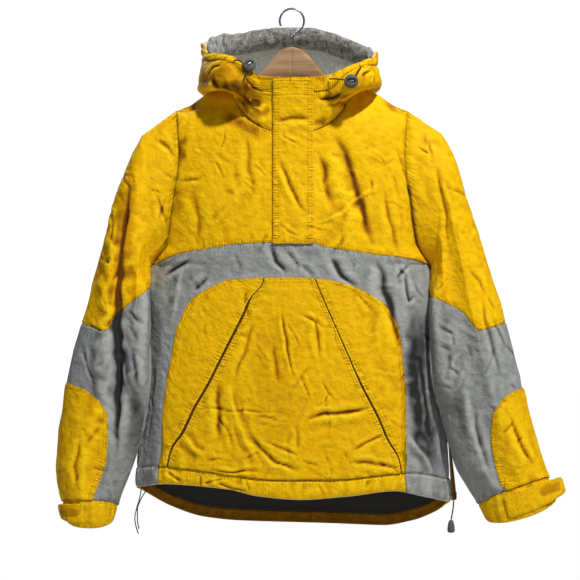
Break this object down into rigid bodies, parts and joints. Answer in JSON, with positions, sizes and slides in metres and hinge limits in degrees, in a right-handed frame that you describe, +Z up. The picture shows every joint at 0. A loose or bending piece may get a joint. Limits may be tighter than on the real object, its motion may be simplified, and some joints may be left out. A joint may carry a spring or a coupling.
{
  "type": "anorak pullover on a wooden hanger",
  "caption": "Padded half-zip anorak with hood, arched kangaroo pocket and forearm patches, hanging open-sleeved on a wooden hanger.",
  "frame": {"origin": "inside top of the hanger's hook, where it rests on a rail or wall hook", "axes": "+X towards the wearer's left sleeve, -Y towards the garment's front, +Z up along the hanging line"},
  "size_m": [0.8148, 0.2506, 0.852],
  "materials": {
    "yellow_shell": "matte woven nylon",
    "grey_shell": "matte woven nylon",
    "fleece": "napped fleece",
    "dark_lining": "smooth lining",
    "dark_cord": "braided cord",
    "zip_tape": "woven zip tape",
    "plastic": "moulded",
    "zip_metal": "worn zip teeth and slider",
    "wood": "varnished beech",
    "steel": "drawn wire"
  },
  "bodies": {
    "root": {"front_yoke_right": "yellow_shell", "front_yoke_left": "yellow_shell", "front_zip": "dark_lining", "storm_flap": "yellow_shell", "front_lower": "grey_shell", "pocket_centre": "yellow_shell", "pocket_side_right": "yellow_shell", "pocket_side_left": "yellow_shell", "hem_casing_front": "yellow_shell", "hem_casing_side_right": "grey_shell", "hem_casing_side_left": "grey_shell", "back_yoke": "yellow_shell", "back_band": "grey_shell", "back_lower": "yellow_shell", "back_lining": "dark_lining", "back_facing": "yellow_shell", "hood_shell": "yellow_shell", "hood_lining": "fleece", "hood_roll": "fleece", "sleeve_upper_right": "yellow_shell", "sleeve_upper_left": "yellow_shell", "sleeve_lower_right": "grey_shell", "sleeve_lower_left": "grey_shell", "forearm_patch_right": "yellow_shell", "forearm_patch_left": "yellow_shell", "cuff_right": "yellow_shell", "cuff_left": "yellow_shell", "cuff_tab_right": "yellow_shell", "cuff_tab_left": "yellow_shell", "cord_lock_right": "plastic", "cord_lock_left": "plastic", "hood_cord_loop_right": "dark_cord", "hood_cord_loop_left": "dark_cord", "hood_cord_tail_right": "dark_cord", "hood_cord_tail_left": "dark_cord", "side_zip": "zip_tape", "side_zip_slider": "zip_metal", "zip_pull_cord": "dark_cord", "zip_pull_bell": "plastic", "hem_cord_long": "dark_cord", "hem_cord_short": "dark_cord", "hanger_arm_right": "wood", "hanger_arm_left": "wood", "hanger_hook": "steel"}
  },
  "joints": []
}
